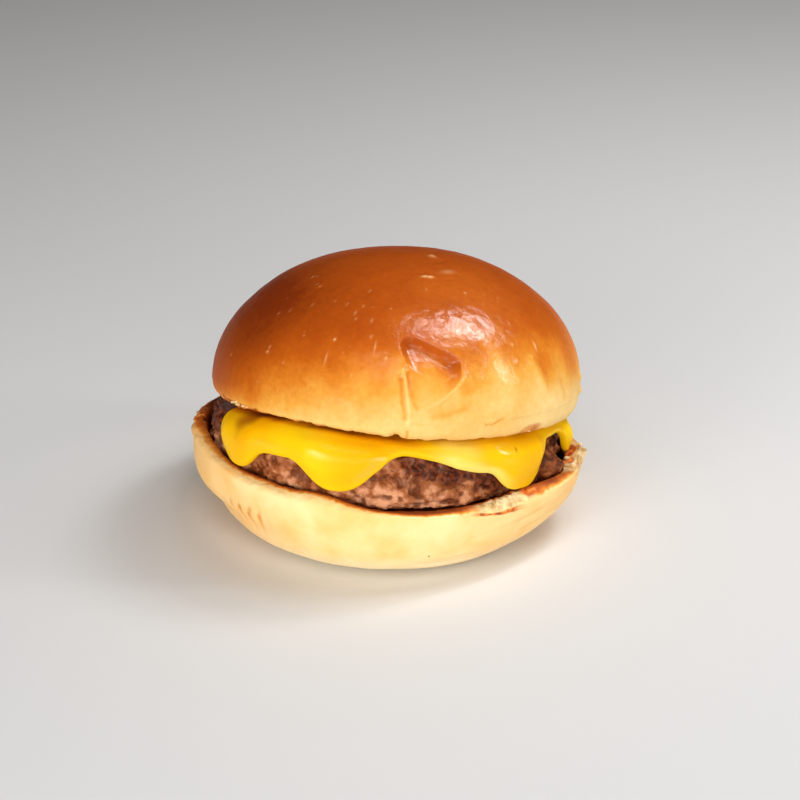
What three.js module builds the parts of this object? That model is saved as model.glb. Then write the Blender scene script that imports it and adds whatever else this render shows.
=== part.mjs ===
// A cheeseburger: a bottom bun pressed into a bowl, a thick patty, a slice of melted cheese
// and a top bun that leans back, so the sandwich gapes at the front.
// Millimetres, +Z up, front towards -Y. The origin is the centre of the flat base.
// Each piece is one closed skin of rings. A ring's points go round the burger by azimuth,
// measured from the front towards +X.

import * as THREE from 'three';

// ---------------------------------------------------------------- driving dimensions

const GAP = 0.5; // between touching pieces

const PATTY = {
  columns: 76,
  radius: 45.8,
  lean: 0.5, // wider by this on the left and narrower on the right
  waves: [
    { times: 2, phase: 2.6, out: 0.9 },
    { times: 3, phase: 0.5, out: 0.6 },
    { times: 5, phase: 2.2, out: 0.35 },
  ],
  bulges: [{ at: -84, width: 16, out: 1.2 }],
  footBulges: [{ at: 65, width: 11, out: 3.8 }], // low down, it spreads into the bun
  centreX: -1.4,
  centreY: -1.6,
  floorMiddle: 13.2, // height of the underside at the middle
  floorRise: 6.2, // how much higher the underside is at the front edge
  floorTurn: 10, // degrees from the front to the underside's highest edge, towards -X
  roofMiddle: 27.2,
  roofRise: 8.6,
  roofCrown: 0.8, // extra height at the front and back edges
  roofTurn: 14,
  shoulder: 4.0, // width of the rounded side
  cragDepth: 2.0,
};

const CHEESE = {
  columns: 94,
  thick: 2.0,
  offPatty: 0.7, // the cheese lies on the meat's highest lumps
  bend: 3.6, // radius of the fold over the patty's edge
  flatShare: 0.88, // part of the flat top that is plain
  shortestReach: 2.8, // how far the edge runs past the start of the fold between the lobes
  belly: 0.9, // how far a hanging lobe bulges
  swelling: { at: -36, width: 26, out: 1.7 }, // squeezed up under the bun at the front left
  swellingFrom: -30, // run over which it rises, and over which it falls again past the fold
  swellingAt: -4,
  swellingEnd: 6,
  pulledBack: 8.0, // how far the edge is drawn in on the left
  pulledBackAt: -90,
  pulledBackWidth: 26,
};

// Hanging lobes of the cheese: azimuth, half widths to the left and right, drop, flatness.
const LOBES = [
  { at: -53, left: 9.5, right: 10, drop: 8.1, power: 2.6 },
  { at: -38, left: 26, right: 16, drop: 2.6, power: 4 },
  { at: -15.5, left: 12, right: 12.5, drop: 9.4, power: 2.6 },
  { at: 34, left: 17, right: 15, drop: 4.6, power: 2.2 },
  { at: 46, left: 11, right: 10.5, drop: 10.3, power: 3.2 },
  { at: 80, left: 4, right: 4, drop: 5.9, power: 2 },
  { at: 112, left: 15, right: 16, drop: 2.4, power: 2.4 },
  { at: 160, left: 15, right: 15, drop: 1.4, power: 2.4 },
  { at: -143, left: 14, right: 14, drop: 2.4, power: 2.4 },
];

const BOTTOM_BUN = {
  columns: 72,
  rimRadius: 51.4,
  rimLean: 1.9, // the rim stands out by this on the left and in on the right
  rimWaves: [{ times: 3, phase: -1, out: 0.3 }],
  rimBulges: [
    { at: 66, width: 13, out: 2.6 },
    { at: 80, width: 6, out: 1.4 },
    { at: 98, width: 22, out: -1.6 },
    { at: 180, width: 50, out: -2 },
  ],
  rimHeight: 20.4,
  rimTilt: 2.4, // higher by this on the left and lower on the right
  rimBackDrop: 3.0,
  rimLump: { at: 79, width: 5, out: 1.3 }, // a torn lump of crumb stands up
  baseRadius: 37.0,
  baseLean: 0.6,
  baseBulges: [{ at: 14, width: 36, out: 1.6 }, { at: -60, width: 30, out: -0.8 }],
  sideFullness: 0.95, // powers of the side's curve, 1 for a quarter ellipse
  sideRise: 1.1,
  tuck: { at: 75, width: 48, out: 0.5 }, // the side is slimmer low down on the right
  fold: { at: -75, width: 32 }, // a soft fold round the left side: a groove under a ridge
  foldGroove: { height: 8.6, spread: 3, depth: 1.3 },
  foldRidge: { height: 14.5, spread: 3.5, depth: 0.8 },
  lipWidth: 1.4, // the rounded cut edge, from the rim inwards
  lipRise: 0.9,
  lipWidthBulges: [ // a thick roll at the left, and torn crumb at the right end
    { at: -22, width: 12, out: 2.0 },
    { at: -44, width: 14, out: 1.9 },
    { at: -74, width: 24, out: 2.2 },
    { at: 74, width: 14, out: 3.0 },
  ],
  lipRiseBulges: [
    { at: -22, width: 12, out: 1.8 },
    { at: -40, width: 10, out: 0.6 },
    { at: -76, width: 20, out: 1.1 },
    { at: 76, width: 13, out: -1.6 },
  ],
  ledgeAt: 40, // the rim is torn into a sloping ledge at the front right
  ledgeHalfWidth: 17,
  ledgeExtraWidth: 2.4,
  ledgeDrop: 2.8,
};

const TOP_BUN = {
  columns: 78,
  radius: 48.9,
  waves: [{ times: 2, phase: 0, out: 0.3 }, { times: 3, phase: 0.8, out: 0.4 }],
  height: 35.4, // from the widest ring to the top
  cutRadius: 45.5, // of the flat cut face
  cutDrop: 3.4, // from the widest ring down to the cut face
  cutBulges: [
    { at: 75, width: 40, out: 2.2 },
    { at: 20, width: 30, out: 1 },
    { at: -35, width: 30, out: -1.2 },
    { at: 180, width: 60, out: 2.4 },
  ],
  apexShift: 1.5, // the top lies this far to the right
  tilt: 11.5, // degrees, front edge raised
  roll: 2.4, // degrees, right edge lowered
  centre: [0.3, 0.5, 34.6], // of the widest ring
};

// The thumb-sized dent in the top bun: an oval on the dome's skin.
const DENT = {
  azimuth: 6.3,
  elevation: 17.9,
  long: 11.0, // half lengths
  short: 6.5,
  turn: -28, // degrees, its long axis runs down to the right
  depth: 2.3,
  ridge: 0.9,
  ridgeAt: 1.5, // in half lengths from the middle
};

// ---------------------------------------------------------------- small maths

const DEG = Math.PI / 180;
const QUARTER = Math.PI / 2;

const mix = (a, b, t) => a + (b - a) * t;

function smooth(from, to, x) {
  const t = Math.min(Math.max((x - from) / (to - from), 0), 1);
  return t * t * (3 - 2 * t);
}

// Signed angle from an azimuth in degrees to phi, in degrees.
function degreesFrom(phi, at) {
  const turn = 2 * Math.PI;
  const angle = (((phi - at * DEG + Math.PI) % turn) + turn) % turn - Math.PI;
  return angle / DEG;
}

// A bump of height 1 at an azimuth; a higher power makes it flatter, with steeper sides.
const near = (phi, at, width, power = 2) => Math.exp(-((Math.abs(degreesFrom(phi, at)) / width) ** power));

const sumOf = (list, value) => list.reduce((sum, item) => sum + value(item), 0);
const waves = (list, phi) => sumOf(list, (wave) => wave.out * Math.cos(wave.times * phi + wave.phase));
const bulges = (list, phi) => sumOf(list, (bulge) => bulge.out * near(phi, bulge.at, bulge.width));
const hill = (x, middle, spread) => Math.exp(-(((x - middle) / spread) ** 2));

// Azimuths of a ring's columns, drawn together round a focus by a squeeze from 0 to 1.
function azimuths(columns, focus = 0, squeeze = 0) {
  const angles = [];
  for (let i = 0; i < columns; i += 1) {
    const even = (2 * Math.PI * i) / columns - Math.PI + focus * DEG;
    angles.push(even - squeeze * Math.sin(even - focus * DEG));
  }
  return angles;
}

const place = (r, z, phi) => [r * Math.sin(phi), -r * Math.cos(phi), z];

// ---------------------------------------------------------------- skin from rings

// Closes a stack of rings into one skin. The first and last rings are single points. The rings
// run from the underside outwards, up the side and back in over the top.
function skin(rings) {
  const columns = rings[1].length;
  const positions = [rings[0][0], ...rings.slice(1, -1).flat(), rings[rings.length - 1][0]];
  const last = positions.length - 1;
  const ringCount = rings.length - 2;
  const at = (ring, column) => 1 + ring * columns + (column % columns);
  const index = [];
  for (let c = 0; c < columns; c += 1) {
    index.push(0, at(0, c + 1), at(0, c));
    for (let r = 0; r < ringCount - 1; r += 1) {
      index.push(at(r, c), at(r, c + 1), at(r + 1, c + 1));
      index.push(at(r, c), at(r + 1, c + 1), at(r + 1, c));
    }
    index.push(last, at(ringCount - 1, c), at(ringCount - 1, c + 1));
  }
  const geometry = new THREE.BufferGeometry();
  geometry.setAttribute('position', new THREE.Float32BufferAttribute(positions.flat(), 3));
  geometry.setIndex(index);
  geometry.computeVertexNormals();
  return geometry;
}

function piece(name, rings, colour, roughness) {
  const material = new THREE.MeshStandardMaterial({ color: colour, roughness, metalness: 0 });
  const mesh = new THREE.Mesh(skin(rings), material);
  mesh.name = name;
  return mesh;
}

// ---------------------------------------------------------------- patty

function pattyRadius(phi) {
  return PATTY.radius - PATTY.lean * Math.sin(phi) + waves(PATTY.waves, phi) + bulges(PATTY.bulges, phi);
}

const pattyFoot = (phi) => pattyRadius(phi) + bulges(PATTY.footBulges, phi);

// How far a point lies towards the high edge, from -1 to 1 across the patty.
function towards(x, y, turn) {
  return (-y * Math.cos(turn * DEG) - x * Math.sin(turn * DEG)) / PATTY.radius;
}

const pattyFloor = (x, y) => PATTY.floorMiddle + PATTY.floorRise * towards(x, y, PATTY.floorTurn);

function pattyRoof(x, y) {
  const share = towards(x, y, PATTY.roofTurn);
  return PATTY.roofMiddle + PATTY.roofRise * share + PATTY.roofCrown * share * share;
}

// Pits between the lumps of minced meat, from 0.15 to 1, by azimuth and share of the height.
function crag(phi, share) {
  const broad = Math.sin(11 * phi + 5 * share) * Math.sin(6 * phi - 9 * share + 1);
  const small = Math.sin(19 * phi - 14 * share + 2) * Math.cos(4 * phi + 12 * share);
  return Math.min(0.5 + 0.4 * broad + 0.3 * small, 1) * 0.7 + 0.3;
}

function pattyRings() {
  const flatRings = 3;
  const sideRings = 12;
  const phis = azimuths(PATTY.columns);
  const ring = (radiusOf, shareUp) => phis.map((phi) => {
    const r = radiusOf(phi);
    const x = PATTY.centreX + r * Math.sin(phi);
    const y = PATTY.centreY - r * Math.cos(phi);
    return [x, y, mix(pattyFloor(x, y), pattyRoof(x, y), shareUp)];
  });
  const edge = (phi, shareUp) => mix(pattyFoot(phi), pattyRadius(phi), smooth(0.3, 0.8, shareUp));
  const flat = (share, shareUp) => ring((phi) => (edge(phi, shareUp) - PATTY.shoulder) * share, shareUp);
  const rings = [flat(0, 0)];
  for (let k = 1; k <= flatRings; k += 1) rings.push(flat(k / flatRings, 0));
  for (let k = 1; k < sideRings; k += 1) {
    const angle = -QUARTER + (Math.PI * k) / sideRings;
    const out = Math.cos(angle) ** 0.85;
    const up = 0.5 + 0.5 * Math.sign(angle) * Math.abs(Math.sin(angle)) ** 0.95;
    const radiusOf = (phi) => edge(phi, up) - PATTY.shoulder
      + PATTY.shoulder * out - PATTY.cragDepth * out * crag(phi, up);
    rings.push(ring(radiusOf, up));
  }
  for (let k = flatRings; k >= 0; k -= 1) rings.push(flat(k / flatRings, 1));
  return rings;
}

// ---------------------------------------------------------------- cheese

// How far the cheese runs past the start of the fold, along the patty's skin.
function cheeseReach(phi) {
  const blend = 3;
  let total = 0;
  for (const lobe of LOBES) {
    const side = degreesFrom(phi, lobe.at);
    const width = side < 0 ? lobe.left : lobe.right;
    total += (lobe.drop * Math.exp(-((Math.abs(side) / width) ** lobe.power))) ** blend;
  }
  const pulled = CHEESE.pulledBack * near(phi, CHEESE.pulledBackAt, CHEESE.pulledBackWidth, 5);
  return CHEESE.shortestReach + total ** (1 / blend) - pulled;
}

function swelling(phi, run) {
  const along = smooth(CHEESE.swellingFrom, CHEESE.swellingAt, run) * (1 - smooth(0, CHEESE.swellingEnd, run));
  return along * bulges([CHEESE.swelling], phi);
}

// A point on the cheese, at a run past the start of the fold and a height off the patty's skin.
function onCheese(phi, run, off) {
  const arc = CHEESE.bend * QUARTER;
  const angle = Math.min(Math.max(run / CHEESE.bend, 0), QUARTER);
  const down = Math.max(run - arc, 0);
  const r = pattyRadius(phi) - CHEESE.bend + Math.min(run, 0) + (CHEESE.bend + off) * Math.sin(angle);
  const x = PATTY.centreX + r * Math.sin(phi);
  const y = PATTY.centreY - r * Math.cos(phi);
  const z = pattyRoof(x, y) - CHEESE.bend + (CHEESE.bend + off) * Math.cos(angle) - down;
  return { x, y, z, angle };
}

function cheeseRings() {
  const flatRings = 2;
  const runRings = 8;
  const lipRings = 3;
  const under = CHEESE.offPatty;
  const top = under + CHEESE.thick;
  const phis = azimuths(CHEESE.columns, 5, 0.4);
  const flatRadius = (phi) => pattyRadius(phi) - CHEESE.bend;
  const flat = (share, off, swell) => phis.map((phi) => {
    const run = flatRadius(phi) * (CHEESE.flatShare * share - 1);
    const p = onCheese(phi, run, 0);
    return [p.x, p.y, p.z + off + swell * swelling(phi, run)];
  });
  const ends = phis.map((phi) => ({
    phi,
    start: flatRadius(phi) * (CHEESE.flatShare - 1),
    end: cheeseReach(phi),
  }));
  const hang = (share, off, bulge) => ends.map(({ phi, start, end }) => {
    const run = mix(start, end, share);
    const along = Math.min(Math.max((run - 2) / Math.max(end - 2, 1), 0), 1);
    const belly = CHEESE.belly * Math.sin(Math.PI * along) * smooth(4, 9, end);
    const p = onCheese(phi, run, off + bulge * (belly + swelling(phi, run)));
    return [p.x, p.y, p.z];
  });
  const lip = (turn) => ends.map(({ phi, end }) => {
    const p = onCheese(phi, end, under + (CHEESE.thick / 2) * (1 - Math.cos(turn)));
    const tip = (CHEESE.thick / 2) * Math.sin(turn);
    const out = tip * Math.cos(p.angle);
    return [p.x + out * Math.sin(phi), p.y - out * Math.cos(phi), p.z - tip * Math.sin(p.angle)];
  });
  const rings = [];
  for (let k = 0; k <= flatRings; k += 1) rings.push(flat(k / flatRings, under, 0));
  for (let k = 1; k <= runRings; k += 1) rings.push(hang(k / runRings, under, 0));
  for (let k = 1; k < lipRings; k += 1) rings.push(lip((Math.PI * k) / lipRings));
  for (let k = runRings; k >= 1; k -= 1) rings.push(hang(k / runRings, top, 1));
  for (let k = flatRings; k >= 0; k -= 1) rings.push(flat(k / flatRings, top, 1));
  return rings;
}

// ---------------------------------------------------------------- bottom bun

const ledge = (phi) => near(phi, BOTTOM_BUN.ledgeAt, BOTTOM_BUN.ledgeHalfWidth, 3);

function lipWidth(phi) {
  const bulge = bulges(BOTTOM_BUN.lipWidthBulges, phi);
  return BOTTOM_BUN.lipWidth + bulge + BOTTOM_BUN.ledgeExtraWidth * ledge(phi);
}

function lipRise(phi) {
  const bulge = bulges(BOTTOM_BUN.lipRiseBulges, phi);
  return BOTTOM_BUN.lipRise + bulge + BOTTOM_BUN.ledgeDrop * ledge(phi);
}

function rimRadius(phi) {
  const lean = -BOTTOM_BUN.rimLean * Math.sin(phi);
  return BOTTOM_BUN.rimRadius + lean + waves(BOTTOM_BUN.rimWaves, phi) + bulges(BOTTOM_BUN.rimBulges, phi);
}

function rimHeight(phi) {
  const level = BOTTOM_BUN.rimHeight - BOTTOM_BUN.rimTilt * Math.sin(phi);
  const behind = smooth(0.15, -0.6, Math.cos(phi));
  return level - BOTTOM_BUN.rimBackDrop * behind + bulges([BOTTOM_BUN.rimLump], phi)
    - BOTTOM_BUN.ledgeDrop * ledge(phi);
}

function baseRadius(phi) {
  return BOTTOM_BUN.baseRadius - BOTTOM_BUN.baseLean * Math.sin(phi) + bulges(BOTTOM_BUN.baseBulges, phi);
}

// The outer side, from the base edge (0) to the rim (1).
function bowlSide(phi, share) {
  const { foldGroove, foldRidge } = BOTTOM_BUN;
  const angle = share * QUARTER;
  const power = BOTTOM_BUN.sideFullness + bulges([BOTTOM_BUN.tuck], phi);
  const z = rimHeight(phi) * (1 - Math.cos(angle) ** BOTTOM_BUN.sideRise);
  const groove = foldGroove.depth * hill(z, foldGroove.height, foldGroove.spread);
  const ridge = foldRidge.depth * hill(z, foldRidge.height, foldRidge.spread);
  const fold = near(phi, BOTTOM_BUN.fold.at, BOTTOM_BUN.fold.width) * (ridge - groove);
  return { r: mix(baseRadius(phi), rimRadius(phi), Math.sin(angle) ** power) + fold, z };
}

const lipInner = (phi) => rimRadius(phi) - lipWidth(phi);

// Where the bowl's inside starts to rise, just within the patty's side.
function bowlFoot(phi) {
  const pattyEdge = pattyFoot(phi) + PATTY.centreX * Math.sin(phi) - PATTY.centreY * Math.cos(phi);
  return pattyEdge - 1.2;
}

// The inside of the bowl lies just below the patty, and rises to the rim's inner edge.
function bowlInside(phi, r) {
  const under = pattyFloor(r * Math.sin(phi), -r * Math.cos(phi)) - GAP;
  return mix(under, rimHeight(phi) + lipRise(phi), smooth(bowlFoot(phi), lipInner(phi), r));
}

function bottomBunRings() {
  const baseRings = 2;
  const sideRings = 9;
  const lipRings = 3;
  const wallRings = 4;
  const insideRings = 3;
  const phis = azimuths(BOTTOM_BUN.columns, 45, 0.2);
  const rings = [];
  for (let k = 0; k <= baseRings; k += 1) {
    rings.push(phis.map((phi) => place((baseRadius(phi) * k) / baseRings, 0, phi)));
  }
  for (let k = 1; k <= sideRings; k += 1) {
    rings.push(phis.map((phi) => {
      const side = bowlSide(phi, k / sideRings);
      return place(side.r, side.z, phi);
    }));
  }
  for (let k = 1; k <= lipRings; k += 1) {
    const angle = (QUARTER * k) / lipRings;
    rings.push(phis.map((phi) => {
      const r = rimRadius(phi) - lipWidth(phi) * (1 - Math.cos(angle));
      return place(r, rimHeight(phi) + lipRise(phi) * Math.sin(angle), phi);
    }));
  }
  for (let k = 1; k <= wallRings; k += 1) {
    rings.push(phis.map((phi) => {
      const r = mix(lipInner(phi), bowlFoot(phi), k / wallRings);
      return place(r, bowlInside(phi, r), phi);
    }));
  }
  for (let k = insideRings - 1; k >= 0; k -= 1) {
    rings.push(phis.map((phi) => {
      const r = (bowlFoot(phi) * k) / insideRings;
      return place(r, bowlInside(phi, r), phi);
    }));
  }
  return rings;
}

// ---------------------------------------------------------------- top bun

const topRadius = (phi) => TOP_BUN.radius + waves(TOP_BUN.waves, phi);
const cutDrop = (phi) => TOP_BUN.cutDrop + bulges(TOP_BUN.cutBulges, phi);

// Moves a point of the upright bun to where it leans on the burger.
function lean(r, z, phi) {
  const tilt = TOP_BUN.tilt * DEG;
  const roll = TOP_BUN.roll * DEG;
  const point = new THREE.Vector3(...place(r, z, phi));
  point.x += (TOP_BUN.apexShift * Math.max(z, 0)) / TOP_BUN.height;
  point.applyAxisAngle(new THREE.Vector3(1, 0, 0), -tilt);
  point.applyAxisAngle(new THREE.Vector3(0, 1, 0), roll);
  point.add(new THREE.Vector3(...TOP_BUN.centre));
  return [point.x, point.y, point.z];
}

// Highest that the cheese can be over a point, as if it hung all round.
function cheeseTop(x, y) {
  const dx = x - PATTY.centreX;
  const dy = y - PATTY.centreY;
  const phi = Math.atan2(dx, -dy);
  const run = Math.hypot(dx, dy) - (pattyRadius(phi) - CHEESE.bend);
  const outer = CHEESE.bend + CHEESE.offPatty + CHEESE.thick;
  if (run >= outer) return -Infinity;
  const fold = outer * Math.cbrt(1 - (Math.max(run, 0) / outer) ** 3);
  return pattyRoof(x, y) - CHEESE.bend + fold + swelling(phi, run);
}

// Presses the bun's underside up where the cheese fills it.
function pressUp([x, y, z]) {
  return [x, y, Math.max(z, cheeseTop(x, y) + GAP + 0.2)];
}

// Depth of the dent at a place on the dome, less the ridge that rises round its right side.
function dentAt(phi, elevation) {
  const across = degreesFrom(phi, DENT.azimuth) * DEG * TOP_BUN.radius * Math.cos(elevation);
  const up = (elevation - DENT.elevation * DEG) * TOP_BUN.radius * 0.85;
  const turn = DENT.turn * DEG;
  const long = (across * Math.cos(turn) + up * Math.sin(turn)) / DENT.long;
  const short = (up * Math.cos(turn) - across * Math.sin(turn)) / DENT.short;
  const out = Math.hypot(long, short);
  const steepSide = smooth(-0.7, 0.7, (short + 0.6 * long) / Math.max(out, 0.01));
  const hollow = 1 - smooth(mix(0, 0.7, steepSide), 1.05, out);
  const ridge = Math.exp(-(((out - DENT.ridgeAt) / 0.3) ** 2)) * smooth(-0.2, 0.8, long / Math.max(out, 0.01));
  return DENT.depth * hollow - DENT.ridge * ridge;
}

function topBunRings() {
  const cutRings = 5;
  const tuckRings = 4;
  const domeRings = 18;
  const phis = azimuths(TOP_BUN.columns, 12, 0.35);
  const cutShare = TOP_BUN.cutRadius / TOP_BUN.radius;
  const rings = [];
  for (let k = 0; k <= cutRings; k += 1) {
    const share = cutShare * (k / cutRings) ** 0.6;
    rings.push(phis.map((phi) => pressUp(lean(topRadius(phi) * share, -cutDrop(phi), phi))));
  }
  for (let k = 1; k <= tuckRings; k += 1) {
    const angle = (QUARTER * k) / tuckRings;
    const share = mix(cutShare, 1, Math.sin(angle));
    rings.push(phis.map((phi) => pressUp(lean(topRadius(phi) * share, -cutDrop(phi) * Math.cos(angle), phi))));
  }
  for (let k = 1; k <= domeRings; k += 1) {
    const elevation = (QUARTER * k) / domeRings;
    rings.push(phis.map((phi) => {
      const depth = dentAt(phi, elevation);
      const r = (topRadius(phi) - depth) * Math.cos(elevation);
      return lean(r, (TOP_BUN.height - depth) * Math.sin(elevation), phi);
    }));
  }
  return rings;
}

// ---------------------------------------------------------------- the burger

const burger = new THREE.Group();
burger.add(
  piece('bottom_bun', bottomBunRings(), 0xf0d79a, 0.75),
  piece('patty', pattyRings(), 0x6b4536, 0.55),
  piece('cheese', cheeseRings(), 0xf7bd14, 0.35),
  piece('top_bun', topBunRings(), 0xc9792f, 0.35),
);

export default burger;
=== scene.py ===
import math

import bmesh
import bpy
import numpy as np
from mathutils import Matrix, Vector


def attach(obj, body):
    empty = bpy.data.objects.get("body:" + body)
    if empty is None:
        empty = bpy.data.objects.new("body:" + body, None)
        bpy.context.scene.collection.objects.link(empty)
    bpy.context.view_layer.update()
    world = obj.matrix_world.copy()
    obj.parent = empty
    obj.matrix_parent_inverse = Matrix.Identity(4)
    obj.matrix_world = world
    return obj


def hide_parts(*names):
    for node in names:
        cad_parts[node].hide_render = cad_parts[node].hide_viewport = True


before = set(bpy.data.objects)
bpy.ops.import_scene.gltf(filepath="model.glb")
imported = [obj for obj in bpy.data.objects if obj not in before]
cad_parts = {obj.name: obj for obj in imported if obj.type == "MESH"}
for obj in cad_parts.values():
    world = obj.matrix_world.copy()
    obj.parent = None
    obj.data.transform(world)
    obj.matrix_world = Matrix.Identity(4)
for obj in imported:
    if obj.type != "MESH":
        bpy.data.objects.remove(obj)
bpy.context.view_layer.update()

# A cheeseburger with a glossy browned bun that gapes at the front, a thick patty and a slice of
# melted cheese. Shapes are worked out in millimetres, front towards -Y, as grids of rings: each
# row of a grid goes round the burger by azimuth, measured from the front towards +X. The
# meshes are in metres.

MM = 0.001
DEG = math.pi / 180
QUARTER = math.pi / 2

# ---- sizes and places, the main ones as in the solids

GAP = 0.5

PATTY_RADIUS = 45.8
PATTY_LEAN = 0.5
PATTY_WAVES = ((2, 2.6, 0.9), (3, 0.5, 0.6), (5, 2.2, 0.35))  # times round, phase, outwards
PATTY_CENTRE = (-1.4, -1.6)
PATTY_FLOOR, PATTY_FLOOR_RISE, PATTY_FLOOR_TURN = 13.2, 6.2, 10
PATTY_ROOF, PATTY_ROOF_RISE, PATTY_ROOF_TURN = 27.2, 8.6, 14
PATTY_ROOF_CROWN = 0.8
PATTY_SHOULDER = 4
CRAG_DEPTH = 2
PATTY_BULGES = ((-84, 16, 1.2),)  # azimuth, width, outwards
FOOT_BULGES = ((65, 11, 3.8),)  # low down, the meat spreads into the bun
FOOT_SPREADS = ((14, 22, 2.7, 0.2), (-71, 9, 1, 0.35), (70, 7, 1.2, 0.35))  # the last is how far up
MEAT_RELIEF = (-1.4, 0.55)  # deepest pit and highest lump
SEAR_EDGE = (0.46, 0.62)  # shares up the side where the sear starts and is full
SEAR_SINKS = (13, 40, 0.01)  # azimuth past which its edge sinks, for how far, share a degree
SEAR_SIDES = ((0, 10), (58, 44))  # azimuths between which it fades in, and out
SEARED_END = (-84, 18, 4)  # azimuth, width, flatness
MEAT_TONE = 0.47
MEAT_TONES = ((-28, 14, 0.05, 4), (66, 22, -0.3, 4))  # azimuth, width, share, flatness
# The second low patch, at the left end, is painted light that lifts the shade under the bun.
MEAT_TONES_LOW = ((4, 22, 0.29, 0.6, 0.25), (-73, 13, 0.2, 0.8, 0.5))  # and heights of its fade

CHEESE_THICK = 2
CHEESE_OFF_PATTY = 0.7
CHEESE_BEND = 3.6
CHEESE_FLAT_SHARE = 0.88
CHEESE_SHORTEST_REACH = 2.8
CHEESE_BELLY = 0.9
CHEESE_SWELLING, CHEESE_SWELLING_RUN = ((-36, 26, 1.7),), (-30, -4, 6)
CHEESE_PULLED_BACK = ((-90, 26, 8, 5),)
LOBES = (  # azimuth, half widths to the left and right, drop, flatness
    (-53, 9.5, 10, 8.1, 2.6),
    (-38, 26, 16, 2.6, 4),
    (-15.5, 12, 12.5, 9.4, 2.6),
    (34, 17, 15, 4.6, 2.2),
    (46, 11, 10.5, 10.3, 3.2),
    (80, 4, 4, 5.9, 2),
    (112, 15, 16, 2.4, 2.4),
    (160, 15, 15, 1.4, 2.4),
    (-143, 14, 14, 2.4, 2.4),
)
CHEESE_FOLDS = (  # azimuth, width, outwards
    (-16, 7, 0.7), (43, 7, 0.5), (-50, 6, 0.4), (-32, 7, -0.7), (9, 10, -0.4), (30, 6, -0.25),
)
CHEESE_DIPS = ((-46, 9, 1, 4), (3, 11, 0.8, 4))
CHEESE_LIT = ((-27, 11, 1, 4), (36, 9, 0.5, 4), (-56, 6, 0.4, 4), (74, 14, 1, 4), (19, 9, 1.3, 4))
CHEESE_UNSHADED = (40, 30, 4)
# The rim is paler along the cheese's lower edge on the right; the patch is a painted sheen on the cheese
# on the right, below the bun's edge.
CREAMY_RIM, CHEESE_SHEEN = (28, 12, 4), (23, 7, 4)
# A painted shadow of the bun's ragged edge darkens the top of the cheese at the left; the dot is a small
# dark mark lower on the right.
BUN_SHADOW, DARK_DOT = (-47, 8, 4), (43, 0.5, 4)
OILY = (  # azimuth, share of the way down, width, spread
    (-38, 0.85, 6, 0.12), (-24, 0.5, 5, 0.18), (-5, 0.88, 5, 0.1),
    (38, 0.5, 4, 0.15), (8, 0.9, 12, 0.07), (25, 0.6, 9, 0.25),
)

RIM_RADIUS = 51.4
RIM_LEAN = 1.9
RIM_WAVES = ((3, -1, 0.3),)
RIM_BULGES = ((66, 13, 2.6), (80, 6, 1.4), (98, 22, -1.6), (180, 50, -2))  # azimuth, width, outwards
RIM_HEIGHT, RIM_TILT, RIM_BACK_DROP = 20.4, 2.4, 3
RIM_LUMP = ((79, 5, 1.3),)
BASE_RADIUS, BASE_LEAN = 37, 0.6
BASE_BULGES = ((14, 36, 1.6), (-60, 30, -0.8))
SIDE_FULLNESS, SIDE_RISE = 0.95, 1.1
TUCK = ((75, 48, 0.5),)
FOLD, FOLD_RINGS = (-75, 32), ((14.5, 3.5, 0.8), (8.6, 3, -1.3))  # height, spread, outwards
LIP_WIDTH, LIP_RISE = 1.4, 0.9
LIP_WIDTH_BULGES = ((-22, 12, 2), (-44, 14, 1.9), (-74, 24, 2.2), (74, 14, 3))
LIP_RISE_BULGES = ((-22, 12, 1.8), (-40, 10, 0.6), (-76, 20, 1.1), (76, 13, -1.6))
LEDGE, LEDGE_EXTRA_WIDTH, LEDGE_DROP = (40, 17, 3), 2.4, 2.8
LEDGE_TEAR, RIGHT_TEAR, LEFT_TEAR = (35, 9.5, 4), (78, 11, 3), (-94, 11, 3)
PLEATS, PLEAT_FIRST, PLEAT_PERIOD, PLEAT_SLANT = (-48, 8, 4), -47, 4.1, 0.25
PLEAT_HEIGHT, PLEAT_SPREAD, PLEAT_DEPTH = 12, 3.4, 0.75
WRINKLES = (  # height, rise for each degree, azimuth, width
    (6.2, 0.055, 35, 30), (9.8, 0.03, 55, 24), (4, 0.03, 18, 16), (13, 0.05, 40, 14),
)
WRINKLE_DEPTH = 0.32
TOAST_START = 1.52  # a part of the outline, as in bottom_grid
TOAST_SHIFTS = ((13, 12, -0.34, 4), (-96, 10, -0.5, 3), (-40, 26, 0.16, 6), (56, 13, -0.3, 4))
TOAST_PALER, TOAST_PALER_ENDS = (14, 36, 6), ((-78, 16, 0.5, 4), (57, 12, 0.42, 4))
LOWER_LUMPS, LOWER_LUMPS_LINE, LOWER_LUMPS_REACH = (32, 8.5, 6), 1.18, 0.1
UPPER_LUMPS = (44, 6, 4)
WARM_ENDS = ((-80, 30, 1, 3), (80, 26, 1, 3), (44, 18, 0.3, 4))
WARM_PATCHES = ((-46, 14, 0.7, 4, 11, 6), (26, 10, 0.45, 2, 8, 4))  # the last two are height and spread

TOP_RADIUS = 48.9
TOP_WAVES = ((2, 0, 0.3), (3, 0.8, 0.4))
TOP_HEIGHT = 35.4
CUT_RADIUS = 45.5
CUT_DROP = 3.4
CUT_ELEVATION = -8 * DEG  # given to the cut face, which is below the dome's edge
CUT_BULGES = ((75, 40, 2.2), (20, 30, 1), (-35, 30, -1.2), (180, 60, 2.4))
APEX_SHIFT = 1.5
TUCK_ROUND = 0.6
TOP_TILT, TOP_ROLL = 11.5, 2.4
HANGS_MOST = (-14, 24, 4)  # azimuth, width, flatness
TOP_CENTRE = (0.3, 0.5, 34.6)

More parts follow.
